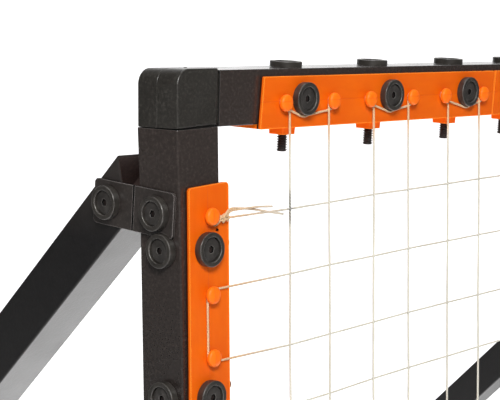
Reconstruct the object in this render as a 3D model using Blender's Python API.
"""Free-standing golf chipping net: a square steel tube frame with plastic corner elbows,
moulded net clips bolted to its four rails, a knotted net, and two folding prop legs.

+Z is up, the net faces -Y, and +X is to the right seen from the front. The origin is on
the ground, at the centre of the footprint. Lengths are millimetres.

Three local frames are used:
  rail    X along the rail, Y to the rear from its front face, Z outwards from its outer face
  corner  at a top corner of the frame, X 0 on the outer face of the upright, Y to the rear
          from the front face, Z 0 on the outer face of the top rail
  leg     Y down the leg from its pivot, X 0 on its outer face, Z square to its upper face
Corner and leg pieces are modelled for the left side, with +X inwards, and mirrored.
"""

import math

import bmesh
import bpy
from mathutils import Matrix, Vector

MM = 0.001

# Frame
TUBE = 40.0  # outer side of the square tube
WALL = 1.5
FRAME_W = 1080.0  # over the outer faces of the uprights
FRAME_H = 1075.0  # over the outer faces of the top and bottom rails
PAD_H = 10.0  # outer face of the bottom rail above the ground
GAP = 0.3  # clearance between neighbouring pieces
HALF_W = FRAME_W / 2
TOP = FRAME_H + PAD_H
MIDDLE_Z = (TOP + PAD_H) / 2

# Foot pad, a square with its corners on these radii
PAD_BOTTOM_R = 27.0
PAD_TOP_R = 25.0

# Corner elbow
ELBOW_PROUD = 0.8  # stands this much outside the tube faces
ELBOW_LEN = 41.0
ELBOW_R = 6.5
ELBOW_ARC_STEPS = 4
SPIGOT_LEN = 42.0
SPIGOT_ROOT = 30.0  # start of a spigot, inside the elbow

# Net clip, an L profile that wraps the front and inner faces of a rail
CLIP_LEN = 302.0
CLIP_PITCH = 304.0
CLIP_PLACES = (-1, 0, 1)  # in pitches from the middle of the rail
FLANGE_T = 4.0
FLANGE_TOP = -5.4  # outer edge of the front flange, from the rail's outer face
FLANGE_BOTTOM = -44.2
INNER_DEPTH = 31.0
BOSS = 13.6  # side of the square boss
BOSS_ROOT = -42.4  # inside the inner flange
BOSS_BOTTOM = -49.4

# Mushroom pegs on the front flange
PEG_X = (28.2, 73.75, 130.1)  # either side of the clip's middle
PEG_Z = -25.6
PEG_NECK_R = 4.1
PEG_HEAD_R = 6.4
PEG_HEAD_TAPER = 0.5
PEG_ROOT = -2.0  # inside the flange
PEG_HEAD_BACK = -6.3
PEG_FRONT = -9.3

# M6 bolts with cup washers, three of each kind through every clip
FRONT_BOLT_X = 106.9
FRONT_BOLT_Z = -22.5
FRONT_BOLT_TIP = 10.0
THROUGH_BOLT_X = 106.6
THROUGH_BOLT_Y = 16.5
THROUGH_BOLT_TIP = -63.5
BOLT_R = 3.0
BOLT_HOLE_R = 3.5
BOLT_SIDES = 6
SHANK_IN_CUP = 3.0
CUP_R = 12.5
CUP_TOP_R = 11.4
CUP_H = 6.3
ROW_CUP_SIDES = 8
LINK = 2.0  # side of the bar that joins a row of bolts inside the tube
LINK_OVERRUN = 0.7  # past the middle of the end bolts
FRONT_LINK_Y = 7.0
THROUGH_LINK_Z = -34.0

# Prop legs
SLOPE = math.radians(42.7)  # below horizontal
PIVOT_Y = 70.2  # behind the front face of the frame
PIVOT_DROP = 95.2  # below the outer face of the top rail
PIVOT_HEIGHT = TOP - PIVOT_DROP
PIVOT_HOLE_R = 3.35
LEG_END_TOP = -30.3  # mitred upper end, along the leg from the pivot
LEG_END_LOW = -3.6
SOLE_CUT = 9.0  # depth below the ground of the cap's lower corner before the sole is cut
CAP_SIDE = 44.0
CAP_GRIP = 23.0
CAP_END = 15.0
CAP_TIP = (PIVOT_HEIGHT + SOLE_CUT - 0.5 * CAP_SIDE * math.cos(SLOPE)) / math.sin(SLOPE)
LEG_TUBE_END = CAP_TIP - CAP_END

# Leg bracket
BRACKET_LEN = 83.0
BRACKET_W = 33.2
BRACKET_T = 2.5
BRACKET_TILT = math.radians(5.4)
BRACKET_R = 3.5
BRACKET_ARC_STEPS = 3
BRACKET_LOWERED = 0.4  # middle of the plate below the midpoint of its two bolts
BRACKET_BOLT_Y = 19.9
BRACKET_BOLT_DROP = 100.3

# Bolts of the bracket and pivot, with their washers and nut
ROUND_SIDES = 16
CUP_SEAT = -2 * GAP - BRACKET_T
CUP_RIM = 2.0  # height of the straight rim
CUP_BORE_R = 3.4
RECESS_FLOOR = 2.6  # above the seat of the cup
RECESS_FLOOR_R = 9.2
RECESS_CUT_R = 9.9  # at the outer end of the cutter
CUP_CUT_END = CUP_SEAT - 9.0
HEAD_SEAT = CUP_SEAT - RECESS_FLOOR - GAP
HEAD_R = 8.5
HEAD_T = 2.2
SOCKET_R = 2.3
SOCKET_FLOOR = 0.6  # above the seat of the head
PIVOT_BOLT_TIP = TUBE + 10.0
BRACKET_BOLT_TIP = 11.0
WASHER_R = 7.5
WASHER_END = TUBE + 2.0
NUT_R = 5.77  # over the corners
NUT_START = WASHER_END + GAP
NUT_H = 5.0
NUT_BORE_R = 3.3  # also the washer's

# Spans of the hole cutters, which run past the material at both ends
RAIL_FRONT_CUT = (-2, 5)
RAIL_THROUGH_CUT = (-TUBE - 2, 2)
CLIP_FRONT_CUT = (-7, 3)
CLIP_THROUGH_CUT = (-53, -37)
UPRIGHT_SIDE_CUT = (-6, 3)
LEG_PIVOT_CUT = (-5, TUBE + 5)
BRACKET_CUT = (-9, 6)

# Net of square cords, which pass beside the necks of the pegs
NET_PLANE = -6.0  # middle of the cords, from the front face of the frame
CORD = 1.6
NET_INSET = 51.0
CORD_FROM_PEG = 4.8

# Front face of the frame, placed so that the whole footprint is centred on Y 0
FRONT_MOST = -FLANGE_T - GAP - CUP_H
REAR_MOST = PIVOT_Y + CAP_TIP * math.cos(SLOPE) + 0.5 * CAP_SIDE * math.sin(SLOPE)
FRONT_Y = -(FRONT_MOST + REAR_MOST) / 2

# Side, tube name, X and Z of the outer face's middle, turn about Y in degrees, length
RAILS = (
    ("top", "top_rail_tube", 0, TOP, 0, FRAME_W),
    ("bottom", "bottom_rail_tube", 0, PAD_H, 180, FRAME_W),
    ("left", "left_upright_tube", -HALF_W, MIDDLE_Z, -90, FRAME_H),
    ("right", "right_upright_tube", HALF_W, MIDDLE_Z, 90, FRAME_H),
)

# Name, X and Z of the frame's corner, turn about Y in degrees
ELBOWS = (
    ("top_left_elbow", -HALF_W, TOP, 0),
    ("top_right_elbow", HALF_W, TOP, 90),
    ("bottom_right_elbow", HALF_W, PAD_H, 180),
    ("bottom_left_elbow", -HALF_W, PAD_H, -90),
)

LOOKS = {
    "steel": dict(colour=(0.020, 0.019, 0.018), roughness=0.42, metallic=0.0),
    "elbow": dict(colour=(0.016, 0.015, 0.015), roughness=0.55, metallic=0.0),
    "clip": dict(colour=(0.80, 0.13, 0.012), roughness=0.38, metallic=0.0),
    "bolt": dict(colour=(0.018, 0.018, 0.018), roughness=0.35, metallic=0.6),
    "bracket": dict(colour=(0.022, 0.021, 0.020), roughness=0.40, metallic=0.2),
    "rubber": dict(colour=(0.015, 0.015, 0.015), roughness=0.80, metallic=0.0),
    "net": dict(colour=(0.72, 0.60, 0.46), roughness=0.85, metallic=0.0),
}
SHARP_ANGLE = math.radians(35)
FLAT_ANGLE = 0.0005  # radians; faces that meet flatter than this are merged


# Scene and materials


def clear_scene():
    for obj in list(bpy.data.objects):
        bpy.data.objects.remove(obj, do_unlink=True)


def material(name, colour, roughness, metallic):
    made = bpy.data.materials.new(name)
    made.use_nodes = True
    shader = made.node_tree.nodes["Principled BSDF"]
    shader.inputs["Base Color"].default_value = (*colour, 1.0)
    shader.inputs["Roughness"].default_value = roughness
    shader.inputs["Metallic"].default_value = metallic
    made.diffuse_color = (*colour, 1.0)
    return made


def empty(name, location, turn=(0.0, 0.0, 0.0)):
    made = bpy.data.objects.new(name, None)
    made.location = [c * MM for c in location]
    made.rotation_euler = turn
    bpy.context.scene.collection.objects.link(made)
    return made


def finish(obj, name, look, parent=None, smooth=True):
    """Names the piece, gives it a material of its own, and shades and parents it."""
    obj.name = name
    obj.data.name = name
    if not obj.data.materials:
        obj.data.materials.append(material(name, **LOOKS[look]))
    if smooth:
        obj.data.shade_smooth()
        obj.data.set_sharp_from_angle(angle=SHARP_ANGLE)
    obj.parent = parent
    return obj


# Solids


def linked(mesh):
    """A new object for the mesh. It keeps a stand-in name until it is finished."""
    obj = bpy.data.objects.new("part", mesh)
    bpy.context.scene.collection.objects.link(obj)
    return obj


def mesh_object(points, faces):
    """A closed mesh from points in millimetres, with its faces pointing out."""
    mesh = bpy.data.meshes.new("part")
    mesh.from_pydata([Vector(point) * MM for point in points], [], faces)
    work = bmesh.new()
    work.from_mesh(mesh)
    bmesh.ops.recalc_face_normals(work, faces=work.faces)
    work.to_mesh(mesh)
    work.free()
    return linked(mesh)


def place(axis, first, second, along):
    """A point from its two outline coordinates and its distance along the axis."""
    return {
        "X": (along, first, second),
        "Y": (first, along, second),
        "Z": (first, second, along),
    }[axis]


def extrude(axis, outline, start, end):
    count = len(outline)
    points = [place(axis, *point, along) for along in (start, end) for point in outline]
    faces = [tuple(range(count)), tuple(range(count, 2 * count))]
    faces += [
        (i, (i + 1) % count, count + (i + 1) % count, count + i) for i in range(count)
    ]
    return mesh_object(points, faces)


def box(xs, ys, zs):
    corners = [(xs[0], ys[0]), (xs[1], ys[0]), (xs[1], ys[1]), (xs[0], ys[1])]
    return extrude("Z", corners, *zs)


def ring(sides, radius, centre=(0.0, 0.0)):
    """A regular polygon with its corners on the radius."""
    turn = math.pi / sides
    return [
        (
            centre[0] + radius * math.cos(turn + 2 * math.pi * i / sides),
            centre[1] + radius * math.sin(turn + 2 * math.pi * i / sides),
        )
        for i in range(sides)
    ]


def turned(axis, sides, profile, centre):
    """A stack of rings: profile lists (radius, distance along the axis)."""
    points, faces = [], []
    for radius, along in profile:
        points += [place(axis, *point, along) for point in ring(sides, radius, centre)]
    for level in range(len(profile) - 1):
        for i in range(sides):
            j = (i + 1) % sides
            lower, upper = level * sides, (level + 1) * sides
            faces.append((lower + i, lower + j, upper + j, upper + i))
    last = (len(profile) - 1) * sides
    faces.append(tuple(range(sides)))
    faces.append(tuple(range(last, last + sides)))
    return mesh_object(points, faces)


def joined(objects):
    """One helper object that holds several bodies that don't touch each other."""
    work = bmesh.new()
    for obj in objects:
        work.from_mesh(obj.data)
        bpy.data.objects.remove(obj, do_unlink=True)
    mesh = bpy.data.meshes.new("part")
    work.to_mesh(mesh)
    work.free()
    return linked(mesh)


def rods(axis, sides, radius, centres, span):
    """Parallel straight rods, as one helper."""
    return joined([extrude(axis, ring(sides, radius, centre), *span) for centre in centres])


def combine(base, added=(), cut=()):
    """Adds helpers to the base, then cuts others from it, and bakes it to a plain mesh."""
    steps = [("UNION", helper) for helper in added]
    steps += [("DIFFERENCE", helper) for helper in cut]
    for number, (operation, helper) in enumerate(steps):
        helper.hide_render = True
        modifier = base.modifiers.new(f"step_{number}", "BOOLEAN")
        modifier.operation = operation
        modifier.solver = "EXACT"
        modifier.object = helper
    bpy.context.view_layer.update()
    graph = bpy.context.evaluated_depsgraph_get()
    mesh = bpy.data.meshes.new_from_object(base.evaluated_get(graph))
    base.modifiers.clear()
    base.data = mesh
    for _, helper in steps:
        bpy.data.objects.remove(helper, do_unlink=True)
    work = bmesh.new()
    work.from_mesh(mesh)
    bmesh.ops.dissolve_limit(
        work, angle_limit=FLAT_ANGLE, verts=work.verts, edges=work.edges
    )
    bmesh.ops.triangulate(work, faces=work.faces, ngon_method="EAR_CLIP")
    work.to_mesh(mesh)
    work.free()
    return base


def copy_of(source):
    """Another piece of the same shape, ready for a material of its own."""
    mesh = source.data.copy()
    mesh.materials.clear()
    return linked(mesh)


def mirrored_x(obj):
    """Mirrors the mesh in the YZ plane, with its faces turned back to point out."""
    obj.data.transform(Matrix.Diagonal((-1.0, 1.0, 1.0, 1.0)))
    obj.data.flip_normals()
    return obj


# Rails, in the rail frame


def bolt_stations(offset):
    """Distances of a row of bolts from the middle of a rail."""
    return [CLIP_PITCH * clip + offset * side for clip in CLIP_PLACES for side in (-1, 0, 1)]


def bolt_holes(front_xs, front_cut, through_xs, through_cut):
    """Two cutters: the holes of the front bolts and those of the through bolts."""
    fronts = [(x, FRONT_BOLT_Z) for x in front_xs]
    throughs = [(x, THROUGH_BOLT_Y) for x in through_xs]
    return [
        rods("Y", BOLT_SIDES, BOLT_HOLE_R, fronts, front_cut),
        rods("Z", BOLT_SIDES, BOLT_HOLE_R, throughs, through_cut),
    ]


def rail_tube(length):
    """A rail between its elbows, with the holes for both rows of bolts."""
    half = length / 2 - ELBOW_LEN - GAP
    bore_half = half + 5
    tube = box((-half, half), (0, TUBE), (-TUBE, 0))
    bore = box((-bore_half, bore_half), (WALL, TUBE - WALL), (-TUBE + WALL, -WALL))
    holes = bolt_holes(
        bolt_stations(FRONT_BOLT_X),
        RAIL_FRONT_CUT,
        bolt_stations(THROUGH_BOLT_X),
        RAIL_THROUGH_CUT,
    )
    return combine(tube, cut=[bore, *holes])


def drill_upright(tube, upwards):
    """The bracket bolt's hole in the outer wall; upwards is the sign of X that points up."""
    along = FRAME_H / 2 - BRACKET_BOLT_DROP
    centre = (upwards * along, BRACKET_BOLT_Y)
    hole = extrude("Z", ring(ROUND_SIDES, PIVOT_HOLE_R, centre), *UPRIGHT_SIDE_CUT)
    return combine(tube, cut=[hole])


def net_clip():
    """The moulded clip: an L section, six mushroom pegs in front, three bosses inside."""
    section = [
        (-FLANGE_T, FLANGE_TOP),
        (-GAP, FLANGE_TOP),
        (-GAP, -TUBE - GAP),
        (INNER_DEPTH, -TUBE - GAP),
        (INNER_DEPTH, FLANGE_BOTTOM),
        (-FLANGE_T, FLANGE_BOTTOM),
    ]
    body = extrude("X", section, -CLIP_LEN / 2, CLIP_LEN / 2)
    peg_profile = [
        (PEG_NECK_R, PEG_ROOT),
        (PEG_NECK_R, PEG_HEAD_BACK),
        (PEG_HEAD_R, PEG_HEAD_BACK),
        (PEG_HEAD_R - PEG_HEAD_TAPER, PEG_FRONT),
    ]
    pegs = [
        turned("Y", 6, peg_profile, (side * x, PEG_Z)) for x in PEG_X for side in (-1, 1)
    ]
    through_xs = (-THROUGH_BOLT_X, 0.0, THROUGH_BOLT_X)
    bosses = [
        box(
            (x - BOSS / 2, x + BOSS / 2),
            (THROUGH_BOLT_Y - BOSS / 2, THROUGH_BOLT_Y + BOSS / 2),
            (BOSS_BOTTOM, BOSS_ROOT),
        )
        for x in through_xs
    ]
    front_xs = (-FRONT_BOLT_X, 0.0, FRONT_BOLT_X)
    holes = bolt_holes(front_xs, CLIP_FRONT_CUT, through_xs, CLIP_THROUGH_CUT)
    return combine(body, added=[joined(pegs), joined(bosses)], cut=holes)


def bolt_row(axis, offset, across, tip, seat, outward, link_start):
    """A row of bolts with their cup washers, joined by a thin bar inside the tube.

    The bolts lie along the axis, with their heads on the outward side (its sign). The
    row is at the distance across, on the third axis.
    """
    reach = CLIP_PITCH + offset + LINK_OVERRUN
    link_along = (link_start, link_start + LINK)
    link_across = (across - LINK / 2, across + LINK / 2)
    if axis == "Y":
        link = box((-reach, reach), link_along, link_across)
    else:
        link = box((-reach, reach), link_across, link_along)
    centres = [(x, across) for x in bolt_stations(offset)]
    shank_span = (tip, seat + outward * SHANK_IN_CUP)
    shanks = rods(axis, BOLT_SIDES, BOLT_R, centres, shank_span)
    cup_profile = [(CUP_R, seat), (CUP_TOP_R, seat + outward * CUP_H)]
    cups = [turned(axis, ROW_CUP_SIDES, cup_profile, centre) for centre in centres]
    return combine(link, added=[shanks, joined(cups)])


def front_bolt_row():
    return bolt_row(
        axis="Y",
        offset=FRONT_BOLT_X,
        across=FRONT_BOLT_Z,
        tip=FRONT_BOLT_TIP,
        seat=-FLANGE_T - GAP,
        outward=-1,
        link_start=FRONT_LINK_Y,
    )


def through_bolt_row():
    return bolt_row(
        axis="Z",
        offset=THROUGH_BOLT_X,
        across=THROUGH_BOLT_Y,
        tip=THROUGH_BOLT_TIP,
        seat=GAP,
        outward=1,
        link_start=THROUGH_LINK_Z,
    )


def build_rails():
    clip = net_clip()
    rows = {"front_bolts": front_bolt_row(), "through_bolts": through_bolt_row()}
    for side, tube_name, x, z, turn, length in RAILS:
        place_name = f"{side}_rail_place"
        parent = empty(place_name, (x, FRONT_Y, z), (0.0, math.radians(turn), 0.0))
        tube = rail_tube(length)
        if side in ("left", "right"):
            tube = drill_upright(tube, 1 if side == "left" else -1)
        finish(tube, tube_name, "steel", parent)
        for pitches, key in zip(CLIP_PLACES, "abc"):
            piece = finish(copy_of(clip), f"{side}_net_clip_{key}", "clip", parent)
            piece.location = (pitches * CLIP_PITCH * MM, 0, 0)
        for kind, row in rows.items():
            finish(copy_of(row), f"{side}_{kind}", "bolt", parent)
    for source in (clip, *rows.values()):
        bpy.data.objects.remove(source, do_unlink=True)


# Corner elbows


def corner_elbow():
    """An elbow for the top left corner, with X to the right and Z up from that corner."""
    low, high = -ELBOW_PROUD, ELBOW_LEN
    outline = [(high, ELBOW_PROUD), (high, -ELBOW_LEN), (low, -ELBOW_LEN)]
    for i in range(ELBOW_ARC_STEPS + 1):
        angle = math.radians(180 - 90 * i / ELBOW_ARC_STEPS)
        outline.append(
            (
                low + ELBOW_R + ELBOW_R * math.cos(angle),
                ELBOW_PROUD - ELBOW_R + ELBOW_R * math.sin(angle),
            )
        )
    body = extrude("Y", outline, -ELBOW_PROUD, TUBE + ELBOW_PROUD)
    near, far = WALL + GAP, TUBE - WALL - GAP
    end = ELBOW_LEN + SPIGOT_LEN
    across = box((SPIGOT_ROOT, end), (near, far), (-far, -near))
    down = box((near, far), (near, far), (-end, -SPIGOT_ROOT))
    return combine(body, added=[across, down])


def build_elbows():
    elbow = corner_elbow()
    for name, x, z, turn in ELBOWS:
        piece = finish(copy_of(elbow), name, "elbow")
        piece.location = (x * MM, FRONT_Y * MM, z * MM)
        piece.rotation_euler = (0, math.radians(turn), 0)
    bpy.data.objects.remove(elbow, do_unlink=True)


# Net


def peg_stations():
    """Distances of the pegs from the middle of a rail, in order."""
    return sorted(
        CLIP_PITCH * clip + side * x for clip in CLIP_PLACES for side in (-1, 1) for x in PEG_X
    )


def column_stations():
    """Upright cords, on the sides of each pair of pegs that face each other."""
    return [
        x + (CORD_FROM_PEG if i % 2 == 0 else -CORD_FROM_PEG)
        for i, x in enumerate(peg_stations())
    ]


def row_stations():
    """Level cords, spaced as the upright ones, but the end cords meet their pegs' middles."""
    pegs = peg_stations()
    return [pegs[0], *column_stations()[1:-1], pegs[-1]]


def cord_edges(stations, reach):
    """Both edges of every cord, between the two ends of the crossing cords."""
    edges = [-reach]
    for x in stations:
        edges += [x - CORD / 2, x + CORD / 2]
    return edges + [reach]


def net():
    """The net as one flat grid, with the ends of its cords just short of the clips."""
    xs = cord_edges(column_stations(), HALF_W - NET_INSET)
    zs = cord_edges(row_stations(), FRAME_H / 2 - NET_INSET)
    columns, rows = len(xs) - 1, len(zs) - 1
    numbers, points, faces = {}, [], []

    def solid(i, j):
        """Odd columns and rows of cells are cords, the other cells are open."""
        inside = 0 <= i < columns and 0 <= j < rows
        return inside and (i % 2 == 1 or j % 2 == 1)

    def corner(i, j, back):
        """The number of a grid point, which is made when it is first used."""
        key = (i, j, back)
        if key not in numbers:
            numbers[key] = len(points)
            y = FRONT_Y + NET_PLANE + (CORD / 2 if back else -CORD / 2)
            points.append((xs[i], y, MIDDLE_Z + zs[j]))
        return numbers[key]

    for i in range(columns):
        for j in range(rows):
            if not solid(i, j):
                continue
            around = [(i, j), (i + 1, j), (i + 1, j + 1), (i, j + 1)]
            faces.append([corner(*spot, False) for spot in around])
            faces.append([corner(*spot, True) for spot in reversed(around)])
            beyond = [(i, j - 1), (i + 1, j), (i, j + 1), (i - 1, j)]
            for side, neighbour in enumerate(beyond):
                if solid(*neighbour):
                    continue
                start, end = around[side], around[(side + 1) % 4]
                faces.append(
                    [
                        corner(*start, False),
                        corner(*start, True),
                        corner(*end, True),
                        corner(*end, False),
                    ]
                )
    return mesh_object(points, faces)


# Legs, in the leg frame


def leg_tube():
    """A prop leg with a mitred upper end."""
    half = TUBE / 2
    outline = [
        (LEG_END_LOW, -half),
        (LEG_TUBE_END - GAP, -half),
        (LEG_TUBE_END - GAP, half),
        (LEG_END_TOP, half),
    ]
    tube = extrude("X", outline, 0, TUBE)
    bore = box(
        (WALL, TUBE - WALL),
        (-80, LEG_TUBE_END + 20),
        (-half + WALL, half - WALL),
    )
    pivot = extrude("X", ring(ROUND_SIDES, PIVOT_HOLE_R), *LEG_PIVOT_CUT)
    return combine(tube, cut=[bore, pivot])


def leg_foot_cap():
    """A rubber foot over the lower end of a leg, with its sole cut level with the ground."""
    half = CAP_SIDE / 2
    sole_start = (PIVOT_HEIGHT - half * math.cos(SLOPE)) / math.sin(SLOPE)
    sole_end_z = (CAP_TIP * math.sin(SLOPE) - PIVOT_HEIGHT) / math.cos(SLOPE)
    start = LEG_TUBE_END - CAP_GRIP
    outline = [
        (start, -half),
        (sole_start, -half),
        (CAP_TIP, sole_end_z),
        (CAP_TIP, half),
        (start, half),
    ]
    inner = TUBE / 2 + GAP
    cap = extrude("X", outline, TUBE / 2 - half, TUBE / 2 + half)
    pocket = box((-GAP, TUBE + GAP), (start - 10, LEG_TUBE_END), (-inner, inner))
    return combine(cap, cut=[pocket])


# Leg bracket and its fixings, in the corner frame


def bracket_outline():
    """A tilted rectangle with rounded corners, as (Y, Z) points."""
    centre_y = (PIVOT_Y + BRACKET_BOLT_Y) / 2
    centre_z = -(PIVOT_DROP + BRACKET_BOLT_DROP) / 2 - BRACKET_LOWERED
    cos_tilt, sin_tilt = math.cos(BRACKET_TILT), math.sin(BRACKET_TILT)
    outline = []
    # Signs of the corner along and across the plate, and the first angle of its arc
    for side_y, side_z, first in ((1, 1, 0), (-1, 1, 90), (-1, -1, 180), (1, -1, 270)):
        for step in range(BRACKET_ARC_STEPS + 1):
            angle = math.radians(first + 90 * step / BRACKET_ARC_STEPS)
            along = side_y * (BRACKET_LEN / 2 - BRACKET_R) + BRACKET_R * math.cos(angle)
            across = side_z * (BRACKET_W / 2 - BRACKET_R) + BRACKET_R * math.sin(angle)
            outline.append(
                (
                    centre_y + along * cos_tilt - across * sin_tilt,
                    centre_z + along * sin_tilt + across * cos_tilt,
                )
            )
    return outline


def bracket_plate():
    """The flat plate that ties the upright to the leg, relieved round the nearest cup."""
    plate = extrude("X", bracket_outline(), -GAP - BRACKET_T, -GAP)
    nearest_cup_z = -(FRAME_H / 2 - CLIP_PITCH - THROUGH_BOLT_X)
    holes = (
        (CUP_R + GAP, (THROUGH_BOLT_Y, nearest_cup_z)),
        (PIVOT_HOLE_R, (BRACKET_BOLT_Y, -BRACKET_BOLT_DROP)),
        (PIVOT_HOLE_R, (PIVOT_Y, -PIVOT_DROP)),
    )
    cutters = [
        extrude("X", ring(ROUND_SIDES, radius, centre), *BRACKET_CUT)
        for radius, centre in holes
    ]
    return combine(plate, cut=[joined(cutters)])


def cup_washer(centre):
    """A cup washer on the outer face of the bracket, with a recess for the bolt head."""
    profile = [
        (CUP_R, CUP_SEAT),
        (CUP_R, CUP_SEAT - CUP_RIM),
        (CUP_TOP_R, CUP_SEAT - CUP_H),
    ]
    recess_profile = [
        (RECESS_FLOOR_R, CUP_SEAT - RECESS_FLOOR),
        (RECESS_CUT_R, CUP_CUT_END),
    ]
    cup = turned("X", ROUND_SIDES, profile, centre)
    recess = turned("X", ROUND_SIDES, recess_profile, centre)
    bore_profile = [(CUP_BORE_R, 5.0), (CUP_BORE_R, CUP_CUT_END)]
    bore = turned("X", ROUND_SIDES, bore_profile, centre)
    return combine(cup, cut=[recess, bore])


def flat_head_bolt(centre, tip):
    """A flat round head inside the cup, with a hex socket, on a plain M6 shank."""
    profile = [
        (BOLT_R, tip),
        (BOLT_R, HEAD_SEAT),
        (HEAD_R, HEAD_SEAT),
        (HEAD_R, HEAD_SEAT - HEAD_T),
    ]
    socket_profile = [(SOCKET_R, HEAD_SEAT - SOCKET_FLOOR), (SOCKET_R, HEAD_SEAT - 6.0)]
    bolt = turned("X", ROUND_SIDES, profile, centre)
    socket = turned("X", 6, socket_profile, centre)
    return combine(bolt, cut=[socket])


def bored_disc(centre, sides, radius, span, bore_span):
    """A short prism along X with a round bore, for the washer and the nut."""
    disc = turned("X", sides, [(radius, along) for along in span], centre)
    bore_profile = [(NUT_BORE_R, along) for along in bore_span]
    bore = turned("X", ROUND_SIDES, bore_profile, centre)
    return combine(disc, cut=[bore])


def flat_washer(centre):
    span = (TUBE + GAP, WASHER_END)
    return bored_disc(centre, ROUND_SIDES, WASHER_R, span, (TUBE - 2, TUBE + 4))


def hex_nut(centre):
    span = (NUT_START, NUT_START + NUT_H)
    return bored_disc(centre, 6, NUT_R, span, (TUBE, TUBE + 9))


# Both sides: leg, bracket and foot pad


def build_bracket(side, outward):
    pivot = (PIVOT_Y, -PIVOT_DROP)
    bracket_bolt = (BRACKET_BOLT_Y, -BRACKET_BOLT_DROP)
    corner = empty(f"{side}_corner_place", (outward * HALF_W, FRONT_Y, TOP))
    pieces = (
        (bracket_plate(), "bracket_plate", "bracket"),
        (cup_washer(pivot), "pivot_cup_washer", "bolt"),
        (flat_head_bolt(pivot, PIVOT_BOLT_TIP), "pivot_bolt", "bolt"),
        (flat_washer(pivot), "pivot_flat_washer", "bolt"),
        (hex_nut(pivot), "pivot_nut", "bolt"),
        (cup_washer(bracket_bolt), "bracket_cup_washer", "bolt"),
        (flat_head_bolt(bracket_bolt, BRACKET_BOLT_TIP), "bracket_bolt", "bolt"),
    )
    finish_side(pieces, side, corner)


def build_leg(side, outward):
    pivot = (outward * HALF_W, FRONT_Y + PIVOT_Y, PIVOT_HEIGHT)
    hinge = empty(f"{side}_leg_hinge", pivot, (-SLOPE, 0.0, 0.0))
    pieces = (
        (leg_tube(), "leg_tube", "steel"),
        (leg_foot_cap(), "leg_foot_cap", "rubber"),
    )
    finish_side(pieces, side, hinge)


def finish_side(pieces, side, parent):
    """Finishes pieces modelled for the left side, mirrored if they go on the right."""
    for obj, name, look in pieces:
        if side == "right":
            mirrored_x(obj)
        finish(obj, f"{side}_{name}", look, parent)


def build_foot_pad(side, outward):
    """A tapered square pad under the bottom corner of the frame."""
    profile = [(PAD_BOTTOM_R, 0.0), (PAD_TOP_R, PAD_H - ELBOW_PROUD - GAP)]
    centre = (outward * (HALF_W - TUBE / 2), FRONT_Y + TUBE / 2)
    finish(turned("Z", 4, profile, centre), f"{side}_foot_pad", "rubber", smooth=False)


def build():
    clear_scene()
    build_rails()
    build_elbows()
    finish(net(), "net", "net", smooth=False)
    for side, outward in (("left", -1), ("right", 1)):
        build_bracket(side, outward)
        build_leg(side, outward)
        build_foot_pad(side, outward)


build()
